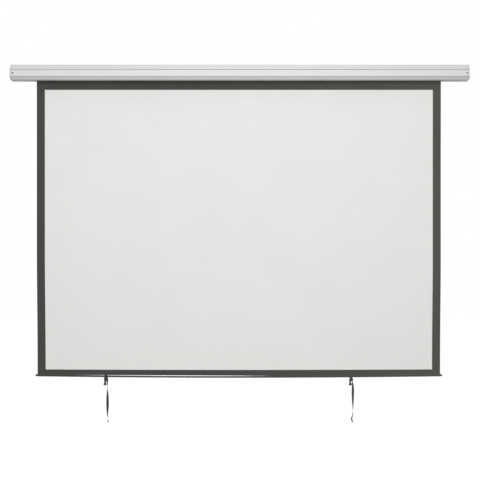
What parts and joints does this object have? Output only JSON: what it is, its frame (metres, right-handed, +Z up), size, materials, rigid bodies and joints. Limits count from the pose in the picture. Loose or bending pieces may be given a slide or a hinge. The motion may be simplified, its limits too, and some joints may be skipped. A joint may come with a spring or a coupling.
{
  "type": "electric projection screen",
  "caption": "Wall-hung roll-down projection screen, fully lowered, with a faceted casing, a motorised roller, a bordered cloth and a weight bar with hanging tapes.",
  "frame": {"origin": "middle of the casing's flat back face", "axes": "+X along the casing to the viewer's right, +Y out of the back towards the wall, +Z up"},
  "size_m": [2.252, 0.0943, 1.7627],
  "materials": {
    "satin_aluminium": "satin, silver lacquer",
    "grey_plastic": "fine grain, silver grey",
    "black_steel": "black oxide",
    "zinc_steel": "zinc plated",
    "bright_steel": "machined",
    "black_plastic": "moulded",
    "white_plastic": "moulded",
    "yellow_plastic": "moulded",
    "black_rubber": "soft",
    "white_cloth": "matt white coating on a fine weave",
    "black_print": "matt black print on the same cloth",
    "black_cloth": "black coating on the cloth's back",
    "black_tape": "woven tape"
  },
  "bodies": {
    "casing": {"housing": "satin_aluminium", "left_end_cap": "grey_plastic", "right_end_cap": "grey_plastic", "left_cap_front_screw": "black_steel", "right_cap_front_screw": "black_steel", "left_cap_rear_screw": "zinc_steel", "right_cap_rear_screw": "zinc_steel", "cable_bush": "black_rubber", "motor_bracket": "zinc_steel", "motor_bracket_upper_screw": "zinc_steel", "motor_bracket_lower_screw": "zinc_steel", "idler_bracket": "zinc_steel", "idler_bracket_upper_screw": "zinc_steel", "idler_bracket_lower_screw": "zinc_steel", "idler_bush": "white_plastic", "terminal_box": "white_plastic", "motor_lead": "black_rubber", "motor_head": "black_plastic", "motor_pin": "bright_steel", "retaining_clip": "bright_steel", "motor_case": "zinc_steel", "mask_border": "black_print", "screen_cloth": "white_cloth", "black_backing": "black_cloth"},
    "roller": {"roller_tube": "zinc_steel", "cloth_wrap": "black_cloth", "crown_ring": "black_plastic", "output_shaft": "bright_steel", "drive_wheel": "black_plastic", "idler_plug": "black_plastic", "idler_pin": "bright_steel"},
    "weight_bar": {"hem_pocket": "black_print", "weight_rod": "zinc_steel", "left_rod_cap": "black_plastic", "right_rod_cap": "black_plastic", "left_tie_loop": "black_tape", "left_tie_knot": "black_tape", "left_tie_short_tail": "black_tape", "left_tie_long_tail": "black_tape", "right_tie_loop": "black_tape", "right_tie_knot": "black_tape", "right_tie_short_tail": "black_tape", "right_tie_long_tail": "black_tape"},
    "up_limit": {"up_limit_screw": "yellow_plastic"},
    "down_limit": {"down_limit_screw": "white_plastic"},
    "left_bracket": {"left_wall_bracket": "zinc_steel"},
    "left_jaw": {"left_bracket_jaw": "satin_aluminium"},
    "left_clamp": {"left_clamp_screw": "bright_steel"},
    "right_bracket": {"right_wall_bracket": "zinc_steel"},
    "right_jaw": {"right_bracket_jaw": "satin_aluminium"},
    "right_clamp": {"right_clamp_screw": "bright_steel"}
  },
  "joints": [
    {"name": "screen_lift", "type": "slide", "parent": "casing", "child": "weight_bar", "axis": [0, 0, 1], "range_m": [0, 1.445], "deforming": ["screen_cloth", "mask_border", "black_backing"]},
    {"name": "roller_spin", "type": "hinge", "parent": "casing", "child": "roller", "pos_m": [-0.0046, -0.049, 0.002], "axis": [1, 0, 0], "range_deg": [0, 3400]},
    {"name": "up_limit_turn", "type": "hinge", "parent": "casing", "child": "up_limit", "pos_m": [-1.0456, -0.034, -0.022], "axis": [0, 0, 1], "continuous": true},
    {"name": "down_limit_turn", "type": "hinge", "parent": "casing", "child": "down_limit", "pos_m": [-1.0316, -0.034, -0.022], "axis": [0, 0, 1], "continuous": true},
    {"name": "left_bracket_slide", "type": "slide", "parent": "casing", "child": "left_bracket", "axis": [1, 0, 0], "range_m": [-0.15, 0.15]},
    {"name": "left_clamp_turn", "type": "hinge", "parent": "left_bracket", "child": "left_clamp", "pos_m": [-0.69812, 0.006, -0.02], "axis": [0, 0, -1], "range_deg": [0, 1286]},
    {"name": "left_jaw_slide", "type": "slide", "parent": "left_bracket", "child": "left_jaw", "axis": [0, 0, 1], "range_m": [0, 0.0025]},
    {"name": "right_bracket_slide", "type": "slide", "parent": "casing", "child": "right_bracket", "axis": [1, 0, 0], "range_m": [-0.15, 0.15]},
    {"name": "right_clamp_turn", "type": "hinge", "parent": "right_bracket", "child": "right_clamp", "pos_m": [0.69812, 0.006, -0.02], "axis": [0, 0, -1], "range_deg": [0, 1286]},
    {"name": "right_jaw_slide", "type": "slide", "parent": "right_bracket", "child": "right_jaw", "axis": [0, 0, 1], "range_m": [0, 0.0025]}
  ],
  "couplings": [
    {"joint": "roller_spin", "follows": "screen_lift", "rad_per_m": 41},
    {"joint": "left_clamp_turn", "follows": "left_jaw_slide", "rad_per_m": 8976},
    {"joint": "right_clamp_turn", "follows": "right_jaw_slide", "rad_per_m": 8976}
  ]
}
